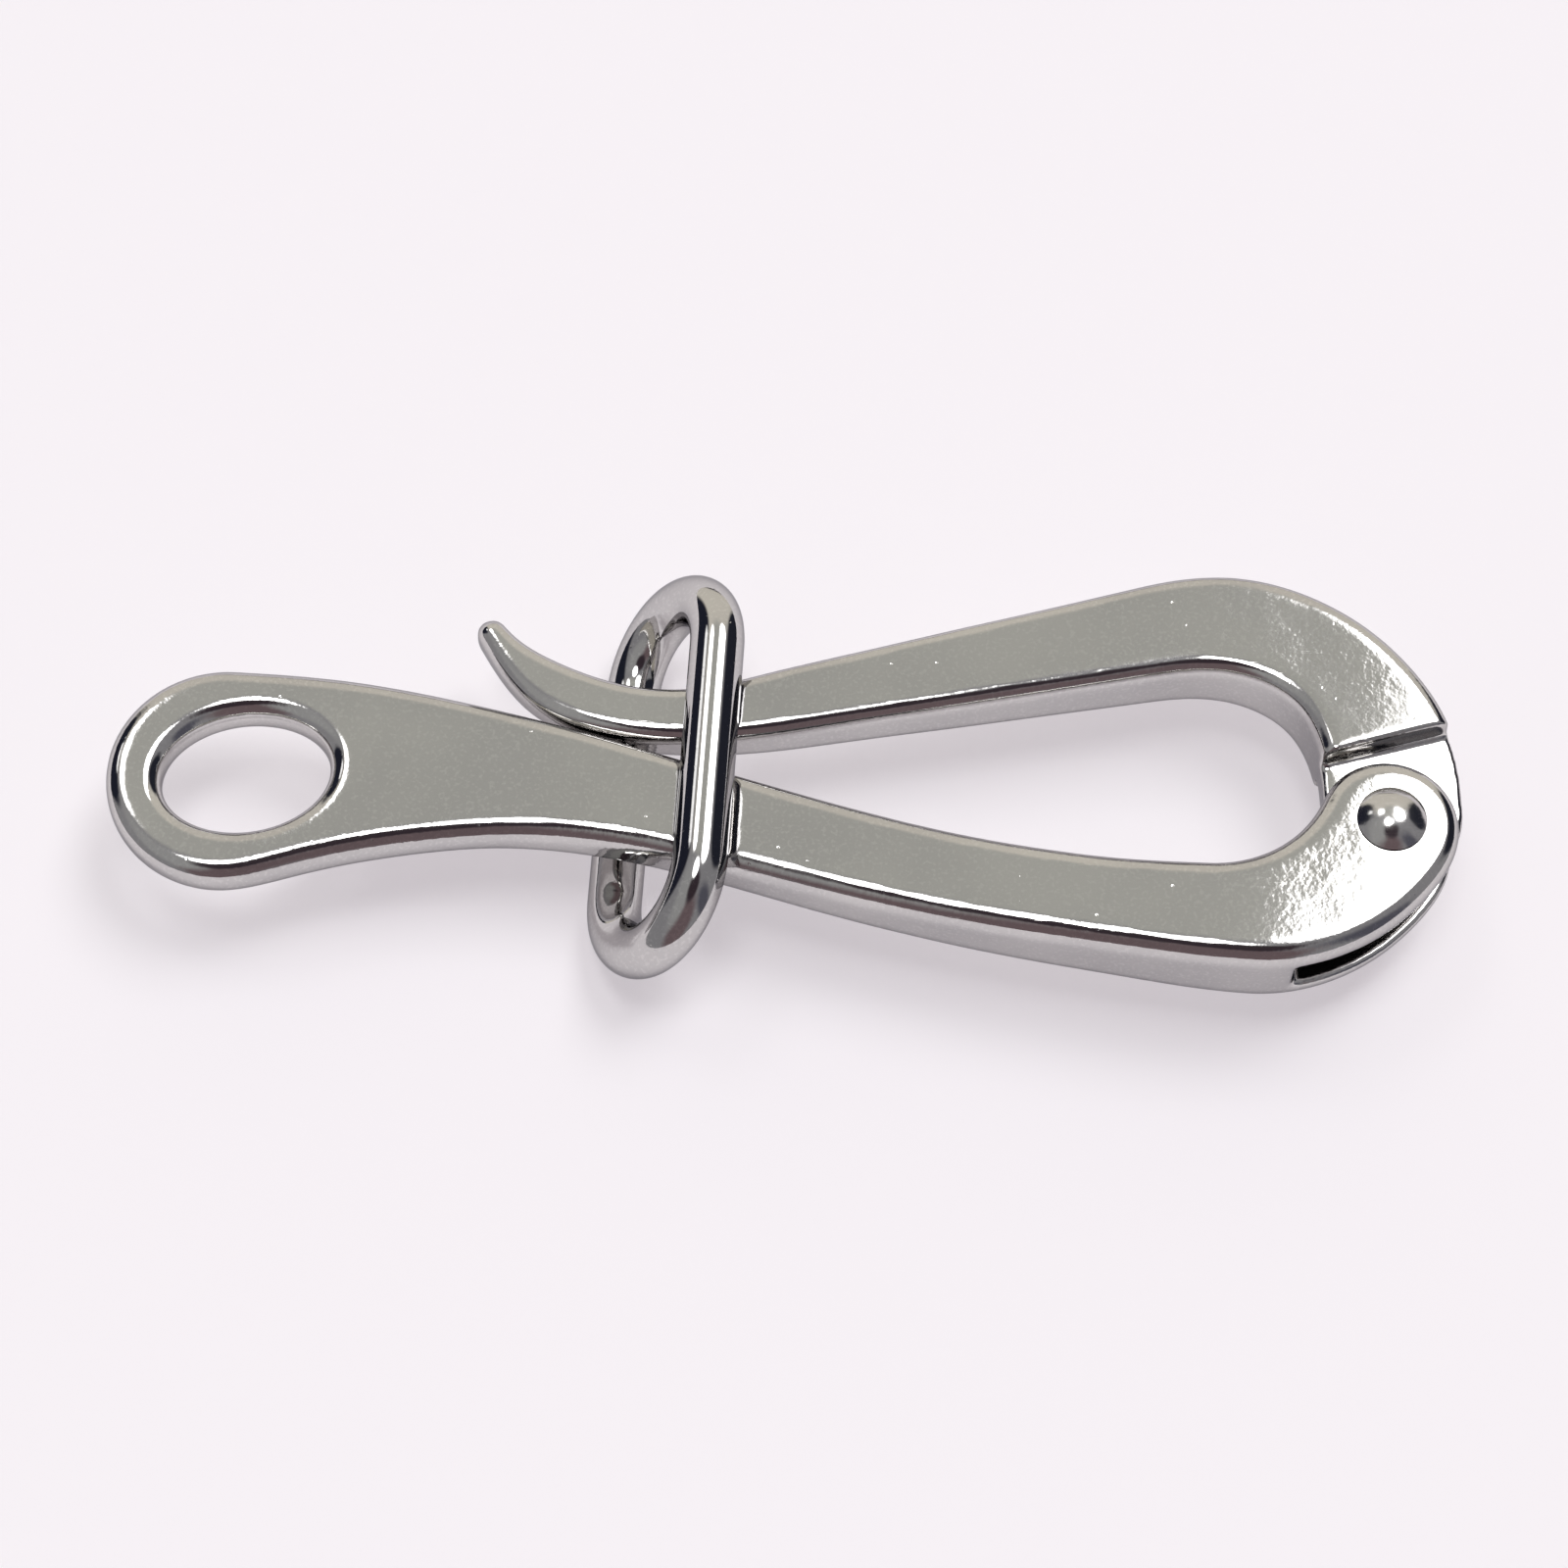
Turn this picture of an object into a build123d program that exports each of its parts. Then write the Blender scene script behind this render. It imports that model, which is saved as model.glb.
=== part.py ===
# Quick-release hook with a captive ring: a cast body with an eye and a fork, a hinged hook arm,
# a headed rivet for the hinge, and an oblong ring that holds the arm shut.
# Frame: origin at the centre of the eye's hole on the middle plane, +X to the hinge axis,
# +Y to the arm's side, +Z through the thickness. Millimetres.
from build123d import *
from math import asin, cos, radians, sin, sqrt
import os

# ---- driving dimensions -------------------------------------------------------------------------

# body
pivot_x = 84.07              # eye centre to hinge axis
eye_hole_length = 12.3
eye_hole_height = 9.2
eye_hole_turn = 13.0         # the hole's long axis leans up to the hinge's side
eye_outer_radius = 8.8
eye_centre_x = -1.6         # middle of the eye's outer circle
eye_centre_y = -0.2
eye_thickness = 3.7
fork_thickness = 7.4
taper_start_x = 17.7         # the body thickens from here ...
taper_end_gap = 10.0         # ... to this far short of the hinge axis
taper_blend_radius = 200.0   # eases the faces into and out of the taper
neck_x = 10.8                # upper edge where it leaves the eye
neck_height = 7.87
throat_x = 4.3               # lower edge where it leaves the eye
throat_depth = 7.5
collar_x = 14.0              # lower edge on its way up to the waist
collar_depth = 5.0
waist_x = 20.4               # highest point of the lower edge
waist_depth = 4.25
fixed_arm_width = 7.55       # the part of the body that runs under the jaw
shank_widening = 0.25        # it is this much wider where it leaves the shank
fixed_arm_points = [         # its upper edge: share of the jaw's length, and height
    (0.289, 0.15),
    (0.438, -1.88),
    (0.657, -3.54),
]
ear_radius = 5.25
heel_drop = 11.9             # lowest point below the hinge axis ...
heel_reach = 9.6             # ... this far behind it
heel_points = [              # outside edge from there up to the ears, from the hinge axis
    (-2.8, -10.15),
    (2.7, -5.65),
]
jaw_radius = 9.0             # inside curve of the jaw, beside the ears
jaw_drop = 3.65              # lowest point of the jaw below the hinge axis
body_edge_radius = 1.5
eye_edge_radius = 1.5

# hook arm
beak_thickness = 3.5
shoulder_thickness = 6.7
arm_taper_start_x = 21.57    # the arm thickens from here to the hinge axis
beak_tip_x = 17.07           # middle of the beak's tip
beak_height = 13.05
beak_tip_radius = 1.2
beak_inner_angle = 211.0     # where the tip's round meets the edge that faces the body
beak_outer_angle = 40.0      # and where it meets the outer edge
arch_height = 20.5           # top of the arch above the hinge axis
arch_reach = 11.5            # and how far behind it
arch_width = 8.45            # depth of the arm's section at the arch
arch_lean = 0.7              # the inside of the arch is this much further back
inner_arch_points = [        # inside edge from the lug up to the arch, from the hinge axis
    (-5.15, 6.2),
    (-6.9, 9.7),
]
inner_straight_start = (-17.6, 11.4)     # from the hinge axis
inner_straight_end = (0.281, 5.9)        # share of the jaw's length, and height
outer_straight_start = (0.224, 10.95)    # the same
outer_straight_end = (-18.6, 19.35)      # from the hinge axis
outer_arch_points = [        # outside edge from the arch down to the lug, from the hinge axis
    (-3.3, 17.95),
    (2.2, 13.0),
    (4.85, 8.2),
]
saddle_point = (31.3, 8.95)  # lowest point of the outer edge, behind the ring
beak_outer_points = [
    (19.2, 12.6),
    (22.3, 10.8),
    (26.2, 9.4),
]
beak_inner_point = (20.7, 6.8)
saddle_depth = 4.62          # depth of the arm's section above its lowest point
shoulder_distance = 6.6      # hinge axis to the shoulder's wall
shoulder_angle = 18.0        # slope of the shoulder's wall
lug_radius = 5.2
lug_offset = (0.55, 1.8)     # centre of the lug's round from the hinge axis
lug_thickness = 2.7
slot_reach = 6.7             # the fork's slot ends this far behind the hinge axis
arm_edge_radius = 1.2

# hinge rivet
rivet_diameter = 3.4
rivet_head_diameter = 5.1
rivet_head_height = 1.1

# ring
ring_bar_diameter = 4.06
ring_inner_length = 24.4
ring_inner_width = 7.1
ring_tilt = 34.5             # the ring leans over by this much at rest
ring_turn = 0.8              # and is turned clockwise by this much, seen from the front
ring_y = 2.68                # height of the ring's middle

# ring seat, a shallow groove across both faces of body and arm
groove_x = 33.95
groove_depth = 0.75
groove_radius = 3.2
groove_lip_radius = 1.0

# where the closed arm comes nearest to the body, on the body's upper edge
contact_x = 25.67
contact_y = 4.74

# clearances
slot_clearance = 0.1         # each side of the lug
pivot_clearance = 0.06       # radial, lug on rivet
rivet_clearance = 0.02       # radial, ears on rivet
head_clearance = 0.02        # under each rivet head
seat_clearance = 0.15        # ring bar above the bottom of its groove
closed_gap = 0.12            # arm above the body when the hook is closed

# ---- values that follow from them ---------------------------------------------------------------

far = 3 * pivot_x            # beyond everything, for cuts
fork_half = fork_thickness / 2
slot_width = lug_thickness + 2 * slot_clearance
slot_end_x = pivot_x - slot_reach
body_taper = (taper_start_x, eye_thickness, pivot_x - taper_end_gap, fork_thickness)
arm_taper = (arm_taper_start_x, beak_thickness, pivot_x, shoulder_thickness)
pivot = Vector(pivot_x, 0)

# the jaw's arc touches the round ears from outside
jaw_centre_y = jaw_radius - jaw_drop
jaw_centre_x = pivot_x - sqrt((jaw_radius + ear_radius) ** 2 - jaw_centre_y**2)
jaw_centre = Vector(jaw_centre_x, jaw_centre_y)
jaw_end = jaw_centre + (pivot - jaw_centre).normalized() * jaw_radius


def from_pivot(*points):
    return [(pivot_x + x, y) for x, y in points]


def along_jaw(*points):
    """The jaw's length runs from where the closed arm meets the body to the hinge axis."""
    return [(contact_x + share * (pivot_x - contact_x), y) for share, y in points]


def polar(centre, radius, angle):
    """Point on a circle, the angle in degrees from +X."""
    return (centre[0] + radius * cos(radians(angle)), centre[1] + radius * sin(radians(angle)))


def side_profile(start_x, start_thickness, end_x, end_thickness):
    """Closed outline of the two faces seen from the side: level, tapering, level again."""
    points = [
        (-far, start_thickness / 2),
        (start_x, start_thickness / 2),
        (end_x, end_thickness / 2),
        (far, end_thickness / 2),
    ]
    FilletPolyline(*points, radius=taper_blend_radius)
    FilletPolyline(*[(x, -z) for x, z in points], radius=taper_blend_radius)
    Line((-far, -start_thickness / 2), (-far, start_thickness / 2))
    Line((far, -end_thickness / 2), (far, end_thickness / 2))


def face_height(x, start_x, start_thickness, end_x, end_thickness):
    """Height of a tapering face above the middle plane."""
    share = (x - start_x) / (end_x - start_x)
    return (start_thickness + share * (end_thickness - start_thickness)) / 2


body_face_z = face_height(groove_x, *body_taper)
arm_face_z = face_height(groove_x, *arm_taper)
groove_floor_z = body_face_z - groove_depth

# the ring's front bar lies in the grooves, its back bar hangs behind them towards the eye
ring_pitch = ring_inner_width + ring_bar_diameter
ring_end_y = (ring_inner_length - ring_inner_width) / 2
bar_z = groove_floor_z + seat_clearance + ring_bar_diameter / 2
ring_x = groove_x - ring_pitch / 2 * sin(radians(ring_tilt))
ring_z = bar_z - ring_pitch / 2 * cos(radians(ring_tilt))


def groove_profile(face):
    """Section of the groove in this face: a round bottom, with lips rounded into the face."""
    depth = face - groove_floor_z
    reach = groove_radius + groove_lip_radius
    half_width = sqrt(2 * reach * depth - depth**2)
    lip_turn = asin(half_width / reach)
    knee_x = half_width - groove_lip_radius * sin(lip_turn)
    knee_z = face - groove_lip_radius * (1 - cos(lip_turn))
    lip_x = half_width - groove_lip_radius * sin(lip_turn / 2)
    lip_z = face - groove_lip_radius * (1 - cos(lip_turn / 2))
    ThreePointArc(
        (groove_x - knee_x, knee_z), (groove_x, groove_floor_z), (groove_x + knee_x, knee_z)
    )
    for side in (-1, 1):
        ThreePointArc(
            (groove_x + side * knee_x, knee_z),
            (groove_x + side * lip_x, lip_z),
            (groove_x + side * half_width, face),
        )
    Polyline(
        (groove_x + half_width, face),
        (groove_x + half_width, face + depth),
        (groove_x - half_width, face + depth),
        (groove_x - half_width, face),
    )


def face_rims(part, least_height):
    """Edges that run round the two faces, without the seams across them."""
    edges = part.edges().filter_by(lambda e: abs(e.center().Z) > least_height)
    return edges.filter_by(Axis.Y, reverse=True).filter_by(Axis.Z, reverse=True)


def near_eye(edge):
    return edge.center().length < (eye_hole_length / 2 + eye_outer_radius) / 2


# ---- body ---------------------------------------------------------------------------------------

upper_edge = along_jaw(*fixed_arm_points)
lower_edge = [(x, y - fixed_arm_width) for x, y in reversed(upper_edge)]
shank_x, shank_y = lower_edge.pop()

with BuildPart() as hook_body:
    with BuildSketch(Plane.XY.offset(-fork_half)):
        with BuildLine():
            eye_centre = (eye_centre_x, eye_centre_y)
            eye_top = polar(eye_centre, eye_outer_radius, 90)
            eye_bottom = polar(eye_centre, eye_outer_radius, 270)
            jaw_bottom = (jaw_centre.X, -jaw_drop)
            heel = (pivot_x - heel_reach, -heel_drop)
            ear_side = (pivot_x + ear_radius, 0)
            Spline(
                eye_top,
                (neck_x, neck_height),
                (contact_x, contact_y),
                *upper_edge,
                jaw_bottom,
                tangents=[(1, 0), (1, 0)],
                tangent_scalars=[1, 1],
            )
            TangentArc(jaw_bottom, (jaw_end.X, jaw_end.Y), tangent=(1, 0))
            ThreePointArc((jaw_end.X, jaw_end.Y), polar((pivot_x, 0), ear_radius, 90), ear_side)
            Spline(
                ear_side,
                *reversed(from_pivot(*heel_points)),
                heel,
                tangents=[(0, -1), (-1, 0)],
                tangent_scalars=[1, 1],
            )
            Spline(
                heel,
                *lower_edge,
                (shank_x, shank_y - shank_widening),
                (waist_x, -waist_depth),
                (collar_x, -collar_depth),
                (throat_x, -throat_depth),
                eye_bottom,
                tangents=[(-1, 0), (-1, 0)],
                tangent_scalars=[1, 1],
            )
            ThreePointArc(eye_bottom, polar(eye_centre, eye_outer_radius, 180), eye_top)
        make_face()
        Ellipse(
            eye_hole_length / 2, eye_hole_height / 2, rotation=eye_hole_turn, mode=Mode.SUBTRACT
        )
    extrude(amount=fork_thickness)
    with BuildSketch(Plane.XZ):
        with BuildLine():
            side_profile(*body_taper)
        make_face()
    extrude(amount=far, both=True, mode=Mode.INTERSECT)
    rims = face_rims(hook_body.part, eye_thickness / 4)
    fillet(rims.filter_by(near_eye, reverse=True), body_edge_radius)
    rims = face_rims(hook_body.part, eye_thickness / 4)
    fillet(rims.filter_by(near_eye), eye_edge_radius)
    # grooves for the ring across both faces
    with BuildSketch(Plane.XZ):
        with BuildLine():
            groove_profile(body_face_z)
        make_face()
        mirror(about=Plane.XY)
    extrude(amount=far, both=True, mode=Mode.SUBTRACT)
    # slot between the ears, open to the arm's side, the heel and the end
    with BuildSketch(Plane.XY):
        with Locations((slot_end_x, 0)):
            Rectangle(far, far, align=(Align.MIN, Align.CENTER))
    extrude(amount=slot_width / 2, both=True, mode=Mode.SUBTRACT)
    with Locations((pivot_x, 0)):
        Cylinder(rivet_diameter / 2 + rivet_clearance, far, mode=Mode.SUBTRACT)
hook_body.part.label = "hook_body"

# ---- hook arm -----------------------------------------------------------------------------------

tip_centre = (beak_tip_x, beak_height)
inner_tip = polar(tip_centre, beak_tip_radius, beak_inner_angle)
outer_tip = polar(tip_centre, beak_tip_radius, beak_outer_angle)
middle_tip = polar(tip_centre, beak_tip_radius, (beak_inner_angle + beak_outer_angle) / 2)
lug_centre = (pivot_x + lug_offset[0], lug_offset[1])
lug_left = polar(lug_centre, lug_radius, 180)
lug_right = polar(lug_centre, lug_radius, 0)
inner_start, outer_end = from_pivot(inner_straight_start, outer_straight_end)
inner_end, outer_start = along_jaw(inner_straight_end, outer_straight_start)

with BuildPart() as hook_arm:
    with BuildSketch(Plane.XY.offset(-fork_half)):
        with BuildLine():
            inner_straight = Line(inner_start, inner_end)
            outer_straight = Line(outer_start, outer_end)
            Spline(
                lug_left,
                *from_pivot(*inner_arch_points),
                (pivot_x - arch_reach - arch_lean, arch_height - arch_width),
                inner_start,
                tangents=[(0, 1), inner_straight % 0],
                tangent_scalars=[1, 1],
            )
            Spline(
                inner_end,
                (saddle_point[0], saddle_point[1] - saddle_depth),
                (contact_x, contact_y + closed_gap),
                beak_inner_point,
                inner_tip,
                tangents=[inner_straight % 1, polar((0, 0), 1, beak_inner_angle - 90)],
                tangent_scalars=[1, 1],
            )
            ThreePointArc(inner_tip, middle_tip, outer_tip)
            Spline(
                outer_tip,
                *beak_outer_points,
                saddle_point,
                outer_start,
                tangents=[polar((0, 0), 1, beak_outer_angle - 90), outer_straight % 0],
                tangent_scalars=[1, 1],
            )
            Spline(
                outer_end,
                (pivot_x - arch_reach, arch_height),
                *from_pivot(*outer_arch_points),
                lug_right,
                tangents=[outer_straight % 1, (0, -1)],
                tangent_scalars=[1, 1],
            )
            ThreePointArc(lug_right, polar(lug_centre, lug_radius, 270), lug_left)
        make_face()
    extrude(amount=fork_thickness)
    with BuildSketch(Plane.XZ):
        with BuildLine():
            side_profile(*arm_taper)
        make_face()
    extrude(amount=far, both=True, mode=Mode.INTERSECT)
    fillet(face_rims(hook_arm.part, lug_thickness / 2), arm_edge_radius)
    # grooves for the ring across both faces
    with BuildSketch(Plane.XZ):
        with BuildLine():
            groove_profile(arm_face_z)
        make_face()
        mirror(about=Plane.XY)
    extrude(amount=far, both=True, mode=Mode.SUBTRACT)
    # the lug is thinned on both sides, below a sloping shoulder
    shoulder = Plane(
        origin=(*polar((pivot_x, 0), shoulder_distance, 90 + shoulder_angle), lug_thickness / 2),
        x_dir=(*polar((0, 0), 1, shoulder_angle), 0),
        z_dir=(0, 0, 1),
    )
    with BuildSketch(shoulder):
        Rectangle(far, far, align=(Align.CENTER, Align.MAX))
    lug_side = extrude(amount=fork_thickness, mode=Mode.SUBTRACT)
    mirror(lug_side, about=Plane.XY, mode=Mode.SUBTRACT)
    with Locations((pivot_x, 0)):
        Cylinder(rivet_diameter / 2 + pivot_clearance, far, mode=Mode.SUBTRACT)
hook_arm.part.label = "hook_arm"

# ---- hinge rivet --------------------------------------------------------------------------------

head_radius = rivet_head_diameter / 2
head_z = fork_half + head_clearance
dome_radius = (head_radius**2 + rivet_head_height**2) / (2 * rivet_head_height)

with BuildPart() as pivot_rivet:
    with BuildSketch(Plane(origin=(pivot_x, 0, 0), x_dir=(1, 0, 0), z_dir=(0, -1, 0))):
        with BuildLine():
            Polyline(
                (0, head_z + rivet_head_height),
                (0, 0),
                (rivet_diameter / 2, 0),
                (rivet_diameter / 2, head_z),
                (head_radius, head_z),
            )
            RadiusArc((head_radius, head_z), (0, head_z + rivet_head_height), -dome_radius)
        make_face()
        mirror(about=Plane.XZ)
    revolve(axis=Axis((pivot_x, 0, 0), (0, 0, 1)))
pivot_rivet.part.label = "pivot_rivet"

# ---- locking ring -------------------------------------------------------------------------------

# the ring's plane leans over by its tilt
across = Vector(1, 0, 0).rotate(Axis.Z, -ring_turn)
ring_plane = Plane(
    origin=(ring_x, ring_y, ring_z),
    x_dir=across * sin(radians(ring_tilt)) + Vector(0, 0, cos(radians(ring_tilt))),
    z_dir=across * -cos(radians(ring_tilt)) + Vector(0, 0, sin(radians(ring_tilt))),
)

with BuildPart() as locking_ring:
    with BuildLine(ring_plane) as ring_path:
        bend = ring_pitch / 2
        Line((bend, -ring_end_y), (bend, ring_end_y))
        ThreePointArc((bend, ring_end_y), (0, ring_end_y + bend), (-bend, ring_end_y))
        Line((-bend, ring_end_y), (-bend, -ring_end_y))
        ThreePointArc((-bend, -ring_end_y), (0, -ring_end_y - bend), (bend, -ring_end_y))
    with BuildSketch(Plane(origin=ring_path.line @ 0, z_dir=ring_path.line % 0)):
        Circle(ring_bar_diameter / 2)
    sweep()
locking_ring.part.label = "locking_ring"

os.makedirs("parts", exist_ok=True)
export_step(hook_body.part, "parts/hook_body.step")
export_step(hook_arm.part, "parts/hook_arm.step")
export_step(pivot_rivet.part, "parts/pivot_rivet.step")
export_step(locking_ring.part, "parts/locking_ring.step")
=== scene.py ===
"""A polished steel pelican hook on a pale floor, under soft studio light."""
from math import pi, radians

import bpy
from mathutils import Matrix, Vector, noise


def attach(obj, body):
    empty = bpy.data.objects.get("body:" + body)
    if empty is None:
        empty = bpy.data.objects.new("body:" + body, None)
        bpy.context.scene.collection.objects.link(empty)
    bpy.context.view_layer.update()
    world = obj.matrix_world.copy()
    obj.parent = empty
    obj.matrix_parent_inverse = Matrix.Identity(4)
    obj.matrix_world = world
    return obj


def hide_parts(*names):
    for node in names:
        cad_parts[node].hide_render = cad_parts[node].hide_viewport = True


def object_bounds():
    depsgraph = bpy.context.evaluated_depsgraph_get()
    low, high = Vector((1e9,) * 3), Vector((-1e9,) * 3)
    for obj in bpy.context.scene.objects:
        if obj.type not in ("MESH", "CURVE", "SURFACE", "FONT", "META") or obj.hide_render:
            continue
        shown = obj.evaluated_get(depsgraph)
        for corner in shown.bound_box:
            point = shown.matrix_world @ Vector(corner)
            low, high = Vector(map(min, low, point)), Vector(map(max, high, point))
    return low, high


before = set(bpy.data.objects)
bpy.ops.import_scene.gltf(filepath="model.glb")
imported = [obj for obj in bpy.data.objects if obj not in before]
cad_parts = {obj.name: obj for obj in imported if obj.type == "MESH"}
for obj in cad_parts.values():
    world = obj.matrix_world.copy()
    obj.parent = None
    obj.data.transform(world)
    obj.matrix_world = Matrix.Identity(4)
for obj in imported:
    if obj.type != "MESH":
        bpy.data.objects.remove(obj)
cad_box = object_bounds()


# ---------------------------------------------------------------- shader helpers

class Shader:
    """Adds nodes to a tree, and links whatever is handed in as an input."""

    def __init__(self, tree):
        self.tree = tree
        tree.nodes.clear()

    def add(self, kind, inputs=(), **settings):
        node = self.tree.nodes.new(kind)
        for name, value in settings.items():
            setattr(node, name, value)
        for key, value in dict(inputs).items():
            if isinstance(value, bpy.types.NodeSocket):
                self.tree.links.new(value, node.inputs[key])
            else:
                node.inputs[key].default_value = value
        return node

    def math(self, operation, *values):
        return self.add("ShaderNodeMath", enumerate(values), operation=operation).outputs[0]

    def blend(self, mask, below, above):
        # a Mix node's colours go in at sockets 6 and 7 and come out at socket 2
        node = self.add("ShaderNodeMix", {0: mask, 6: below, 7: above}, data_type="RGBA")
        return node.outputs[2]

    def ramp(self, value, low, high, to_low=0.0, to_high=1.0):
        # a Map Range node's first five sockets, in this order
        inputs = enumerate((value, low, high, to_low, to_high))
        return self.add("ShaderNodeMapRange", inputs, interpolation_type="SMOOTHSTEP").outputs[0]


# ---------------------------------------------------------------- studio

# What the steel mirrors: soft patches of the room, drawn on a map where the middle is
# straight up, the distance from it is degrees down from there, and +Y is up the map.
# A later patch covers an earlier one.
# (centre, half size, turn, softness, colour)
room = [
    ((-12, 78), (70, 52), 0, 0.25, (0.80, 0.76, 0.68)),       # far wall
    ((-5, 92), (100, 5), 0, 0.4, (0.10, 0.09, 0.10)),         # the far wall's dark foot
    ((68, 40), (29, 36), -8, 0.15, (0.022, 0.024, 0.036)),    # dark right side
    ((-66, 38), (31, 30), -15, 0.15, (0.018, 0.020, 0.034)),  # dark left side
    ((62, -38), (34, 16), -20, 0.4, (0.12, 0.12, 0.15)),      # dim near corner on the right
    ((0, -64), (36, 36), 0, 0.30, (0.19, 0.14, 0.15)),        # front
    ((-30, -20), (22, 34), 0, 0.4, (0.42, 0.42, 0.42)),       # ceiling, left
    ((2, -20), (18, 17), 0, 0.3, (0.05, 0.036, 0.045)),       # dark ceiling, front
    ((-3, 28), (20, 14), 0, 0.5, (0.55, 0.55, 0.51)),         # ceiling, middle
    ((-5, 1), (9, 9), 0, 0.3, (9.0, 9.0, 9.0)),               # lamps, from here on
    ((20, 21), (11.5, 16), -15, 0.25, (9.0, 9.0, 9.0)),
    ((16, 32), (8.5, 8), 0, 0.25, (5.0, 5.0, 5.0)),
    ((-21, 28), (7, 9), -15, 0.25, (4.0, 4.0, 4.0)),
    ((-43, 32), (5, 6), 10, 0.4, (1.6, 1.6, 1.6)),
]
room_base = (0.32, 0.315, 0.33, 1)
backdrop = (0.86, 0.84, 0.86, 1)

floor_colour = (0.46, 0.45, 0.46, 1)
floor_glow = (0.46, 0.43, 0.455, 1)
floor_roughness = 0.85
floor_size = 3.0

# lengths in metres and angles in degrees, but the lens and the sensor in millimetres
camera_target = (0.03959, 0.001587, 0.000812)
camera_distance = 0.315
camera_tilt = 27
camera_roll = 3.121
camera_lens = 98.01
camera_sensor = 36
camera_near = 0.01
camera_far = 20


def build_world():
    world = bpy.data.worlds.new("studio")
    bpy.context.scene.world = world
    world.use_nodes = True
    s = Shader(world.node_tree)
    direction = s.add("ShaderNodeTexCoord").outputs["Generated"]
    x, y, z = s.add("ShaderNodeSeparateXYZ", {0: direction}).outputs
    down = s.math("MULTIPLY", s.math("ARCCOSINE", z), 180 / pi)
    around = s.math("ARCTAN2", y, x)
    place = s.add("ShaderNodeCombineXYZ", {
        "X": s.math("MULTIPLY", down, s.math("COSINE", around)),
        "Y": s.math("MULTIPLY", down, s.math("SINE", around)),
    }).outputs[0]
    colour = room_base
    for centre, half, turn, softness, paint in room:
        local = s.add("ShaderNodeMapping", {
            "Vector": place,
            "Location": (*centre, 0),
            "Rotation": (0, 0, radians(turn)),
            "Scale": (*half, 1),
        }, vector_type="TEXTURE").outputs[0]
        distance = s.add("ShaderNodeVectorMath", {0: local}, operation="LENGTH").outputs["Value"]
        mask = s.ramp(distance, 1 - softness, 1 + softness, 1.0, 0.0)
        colour = s.blend(mask, colour, (*paint, 1))
    seen = s.add("ShaderNodeLightPath").outputs["Is Camera Ray"]
    colour = s.blend(seen, colour, backdrop)
    light = s.add("ShaderNodeBackground", {"Color": colour})
    s.add("ShaderNodeOutputWorld", {"Surface": light.outputs[0]})


def build_floor():
    material = bpy.data.materials.new("floor")
    material.use_nodes = True
    s = Shader(material.node_tree)
    shader = s.add("ShaderNodeBsdfPrincipled", {
        "Base Color": floor_colour,
        "Roughness": floor_roughness,
        "Emission Color": floor_glow,
        "Emission Strength": 1.0,
    })
    s.add("ShaderNodeOutputMaterial", {"Surface": shader.outputs[0]})
    mesh = bpy.data.meshes.new("floor")
    half = floor_size / 2
    z = cad_box[0][2]
    corners = [(-half, -half, z), (half, -half, z), (half, half, z), (-half, half, z)]
    mesh.from_pydata(corners, [], [(0, 1, 2, 3)])
    mesh.materials.append(material)
    floor = bpy.data.objects.new("floor", mesh)
    bpy.context.scene.collection.objects.link(floor)


def build_camera():
    camera = bpy.data.objects.new("camera", bpy.data.cameras.new("camera"))
    bpy.context.scene.collection.objects.link(camera)
    tilt = Matrix.Rotation(radians(camera_tilt), 4, "X")
    roll = Matrix.Rotation(radians(camera_roll), 4, "Z")
    back = Matrix.Translation((0, 0, camera_distance))
    camera.matrix_world = Matrix.Translation(camera_target) @ tilt @ roll @ back
    camera.data.sensor_width = camera_sensor
    camera.data.lens = camera_lens
    camera.data.clip_start = camera_near
    camera.data.clip_end = camera_far
    bpy.context.scene.camera = camera


# ---------------------------------------------------------------- materials

# Lengths are in metres. A ramp is (low, high, result at low, result at high).
patch_size = 0.009
patch_ramp = (0.42, 0.62, 0.25, 1.0)
speckle_size = 0.00035

pit_cell = 0.0011
pit_threshold = 0.78                     # of a cell's random number from 0 to 1
pit_ramp = (0.03, 0.12, -0.000012, 0.0)  # from a distance in cells

scratch_width = 0.00022
scratch_stretch = (0.06, 1, 1)
scratch_turn = (0, 0, 0.5)
scratch_ramp = (0.74, 0.80, 0.0, -0.0000012)

smear_size = 0.012
smear_detail = 3.0
tone_ramp = (0.3, 0.7)
light_tone = (0.60, 0.588, 0.575, 1)
dark_tone = (0.53, 0.52, 0.515, 1)
gloss_ramp = (0.25, 0.75)
least_roughness = 0.8                    # both are shares of the look's roughness
most_roughness = 1.5

frost_size = 0.00028
frost_ramp = (0.50, 0.72, 0.0, 0.45)
frost_tone = (0.68, 0.67, 0.655, 1)

# Specular Tint that darkens the steel's reflection towards grazing angles: painted shade along the
# outlines, standing in for the dark contact shade near the floor. Real steel dips only slightly
# there.
grazing_shade_tint = (0.45, 0.45, 0.47, 1)

# (roughness, peel size, peel depth, speckle depth)
casting_look = (0.07, 0.0014, 0.000014, 0.000008)
solid_looks = {
    "locking_ring": (0.05, 0.004, 0.000010, 0.000001),
    "pivot_rivet": (0.16, 0.0011, 0.000030, 0.000006),
}


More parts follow.
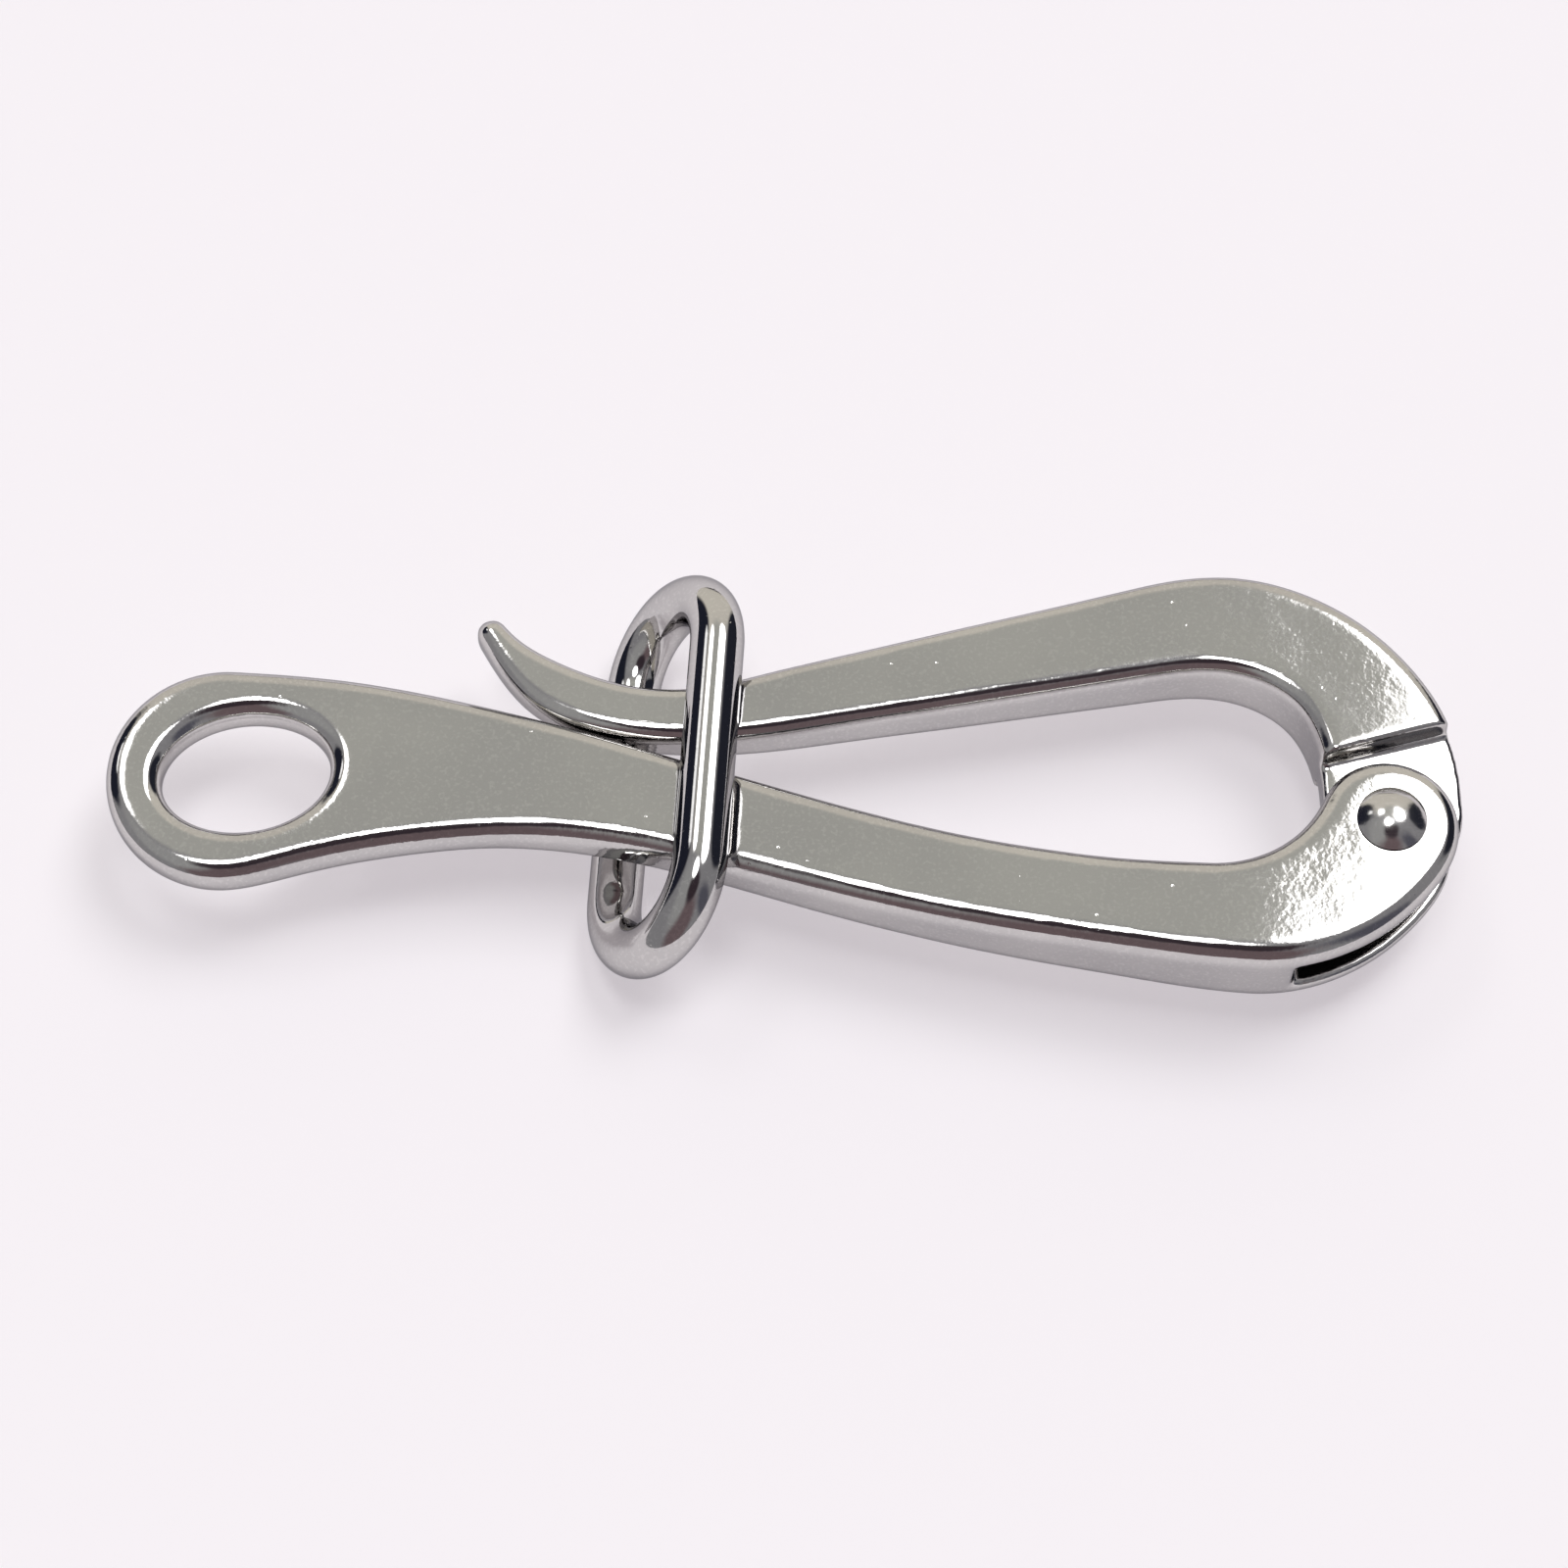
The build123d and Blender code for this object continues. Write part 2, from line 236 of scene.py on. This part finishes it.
def steel(name, roughness, peel_size, peel_depth, speckle_depth):
    """Polished cast steel: orange peel, fine speckle in patches, pits and faint scratches."""
    material = bpy.data.materials.new(name)
    material.use_nodes = True
    s = Shader(material.node_tree)
    place = s.add("ShaderNodeTexCoord").outputs["Object"]

    def grain(size, detail=0.0, where=place):
        inputs = {"Vector": where, "Scale": 1 / size, "Detail": detail}
        return s.add("ShaderNodeTexNoise", inputs).outputs[0]

    peel = s.math("MULTIPLY", grain(peel_size, 1.0), peel_depth)
    patches = s.ramp(grain(patch_size, 1.0), *patch_ramp)
    speckle = s.math("MULTIPLY", grain(speckle_size, 1.0), patches)
    speckle = s.math("MULTIPLY", speckle, speckle_depth)
    # pits: a few of the cells of a fine mesh carry a small dimple
    cells = s.add("ShaderNodeTexVoronoi", {"Vector": place, "Scale": 1 / pit_cell})
    cell_number = s.add("ShaderNodeSeparateColor", {0: cells.outputs["Color"]}).outputs["Red"]
    chosen = s.math("GREATER_THAN", cell_number, pit_threshold)
    dimple = s.ramp(cells.outputs["Distance"], *pit_ramp)
    pits = s.math("MULTIPLY", dimple, chosen)
    # scratches: the tops of a long thin grain that lies at an angle to the part
    long_way = s.add("ShaderNodeMapping", {
        "Vector": place,
        "Scale": scratch_stretch,
        "Rotation": scratch_turn,
    }).outputs[0]
    scratch = s.ramp(grain(scratch_width, 0.0, long_way), *scratch_ramp)
    height = s.math("ADD", s.math("ADD", peel, speckle), s.math("ADD", pits, scratch))
    bump = s.add("ShaderNodeBump", {"Height": height, "Strength": 1.0, "Distance": 1.0})
    # wiped and handled patches differ a little in gloss and tone
    smear = grain(smear_size, smear_detail)
    tone = s.blend(s.ramp(smear, *tone_ramp), light_tone, dark_tone)
    frost = s.ramp(grain(frost_size, 1.0), *frost_ramp)
    tone = s.blend(frost, tone, frost_tone)
    gloss = s.ramp(smear, *gloss_ramp, least_roughness * roughness, most_roughness * roughness)
    shader = s.add("ShaderNodeBsdfPrincipled", {
        "Base Color": tone,
        # painted shade: this tint darkens the reflection at grazing angles, along the outlines
        "Specular Tint": grazing_shade_tint,
        "Metallic": 1.0,
        "Roughness": gloss,
        "Normal": bump.outputs[0],
    })
    s.add("ShaderNodeOutputMaterial", {"Surface": shader.outputs[0]})
    return material


# ---------------------------------------------------------------- castings

voxel = 0.0002
smooth_factor = 0.5
smooth_rounds = 20
waves = [(0.011, 0.00012), (0.004, 0.00002)]  # (length, depth) of the faces' unevenness


def cast_piece(node, body):
    """The node's shape with the soft edges and slightly uneven faces of a polished casting."""
    piece = bpy.data.objects.new(node + "_casting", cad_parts[node].data.copy())
    bpy.context.scene.collection.objects.link(piece)
    remesh = piece.modifiers.new("remesh", "REMESH")
    remesh.mode = "VOXEL"
    remesh.voxel_size = voxel
    remesh.use_smooth_shade = True
    smooth = piece.modifiers.new("smooth", "SMOOTH")
    smooth.factor = smooth_factor
    smooth.iterations = smooth_rounds
    graph = bpy.context.evaluated_depsgraph_get()
    mesh = bpy.data.meshes.new_from_object(piece.evaluated_get(graph))
    piece.modifiers.clear()
    piece.data = mesh
    # the unevenness only goes inwards, so that the piece stays within its solid
    moved = []
    for vertex in mesh.vertices:
        depth = sum(height * (1 - noise.noise(vertex.co / length)) / 2 for length, height in waves)
        moved.append(vertex.co - vertex.normal * depth)
    for vertex, place in zip(mesh.vertices, moved):
        vertex.co = place
    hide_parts(node)
    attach(piece, body)
    return piece


def build_castings():
    for node, body, slot in [("hook_body", "body", "body_steel"), ("hook_arm", "arm", "arm_steel")]:
        piece = cast_piece(node, body)
        piece.data.materials.clear()
        piece.data.materials.append(steel(node + "_polished", *casting_look))


def finish_ring_and_rivet():
    for node, look in solid_looks.items():
        material = steel(node + "_polished", *look)
        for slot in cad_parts[node].material_slots:
            slot.material = material


build_world()
build_floor()
build_camera()
build_castings()
finish_ring_and_rivet()
bpy.context.scene.view_settings.view_transform = "Standard"
